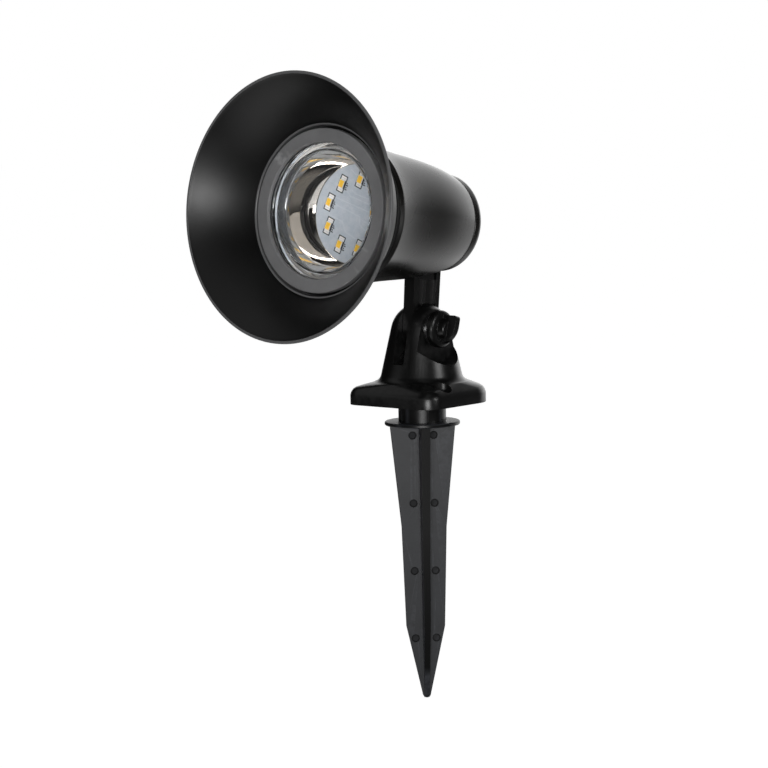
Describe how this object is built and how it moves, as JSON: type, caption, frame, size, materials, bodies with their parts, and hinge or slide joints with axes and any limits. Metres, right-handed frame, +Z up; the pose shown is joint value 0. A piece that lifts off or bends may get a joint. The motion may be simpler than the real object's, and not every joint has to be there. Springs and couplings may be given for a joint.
{
  "type": "garden spotlight",
  "caption": "Garden spotlight with a flared shade, a reflector and light board behind a clear lens, a tapered head on a tilting arm, a clevis base and a ground spike.",
  "frame": {"origin": "centre of the top face of the spike's flange, on the spike's axis", "axes": "+Z up along the spike's axis, head facing -Y at rest, wing knob on +X"},
  "size_m": [0.1266, 0.1322, 0.3102],
  "materials": {
    "shade_black": "fine matte texture",
    "bezel_grey": "fine matte texture",
    "clear": "clear, polished",
    "seal_rubber": "matte",
    "metallised": "bright metallised",
    "board_white": "satin solder mask",
    "led_white": "satin",
    "led_amber": "glossy",
    "inner_white": "satin",
    "screw_steel": "plated",
    "body_black": "satin",
    "arm_black": "satin to semi-gloss",
    "cell_wrap": "shrink-wrapped",
    "board_green": "satin solder mask",
    "chip_black": "matte",
    "coil_dark": "matte ferrite",
    "can_blue": "sleeved",
    "header_ivory": "satin",
    "lead_red": "satin",
    "lead_dark": "satin",
    "lead_blue": "satin",
    "brass": "machined",
    "spike_black": "moulded satin"
  },
  "bodies": {
    "spike": {"ground_spike": "spike_black"},
    "base": {"base_bracket": "arm_black", "clamp_bolt": "screw_steel"},
    "head": {"shade": "shade_black", "bezel_ring": "bezel_grey", "lens": "clear", "lens_gasket": "seal_rubber", "reflector": "metallised", "led_board": "board_white", "led_packages": "led_white", "led_windows": "led_amber", "board_carrier": "inner_white", "carrier_screws": "screw_steel", "neck_seal": "seal_rubber", "head_shell": "body_black", "cell_cradle": "inner_white", "cradle_screws": "screw_steel", "battery_cell": "cell_wrap", "cell_spring": "screw_steel", "cell_contact": "screw_steel", "control_board": "board_green", "driver_chip": "chip_black", "inductor": "coil_dark", "capacitor": "can_blue", "lead_headers": "header_ivory", "light_leads": "lead_red", "cell_leads": "lead_dark", "panel_leads": "lead_blue", "rear_cap": "body_black", "cap_seal": "seal_rubber", "cap_screws": "screw_steel", "panel_inlet": "arm_black", "inlet_pin": "brass", "inlet_nut": "arm_black", "inlet_seal": "seal_rubber", "tilt_arm": "arm_black", "arm_screws": "screw_steel"},
    "washer": {"clamp_washer": "screw_steel"},
    "knob": {"wing_knob": "arm_black", "knob_nut": "brass"}
  },
  "joints": [
    {"name": "base_swivel", "type": "hinge", "parent": "spike", "child": "base", "pos_m": [0, 0, 0], "axis": [0, 0, 1], "continuous": true},
    {"name": "head_tilt", "type": "hinge", "parent": "base", "child": "head", "pos_m": [0, 0, 0.0456], "axis": [-1, 0, 0], "range_deg": [-80, 100]},
    {"name": "washer_slide", "type": "slide", "parent": "base", "child": "washer", "axis": [1, 0, 0], "range_m": [0, 0.0016]},
    {"name": "knob_turn", "type": "hinge", "parent": "washer", "child": "knob", "pos_m": [0, 0, 0.0456], "axis": [1, 0, 0], "range_deg": [0, 720]}
  ],
  "couplings": [
    {"joint": "knob_turn", "follows": "washer_slide", "rad_per_m": 7854}
  ]
}
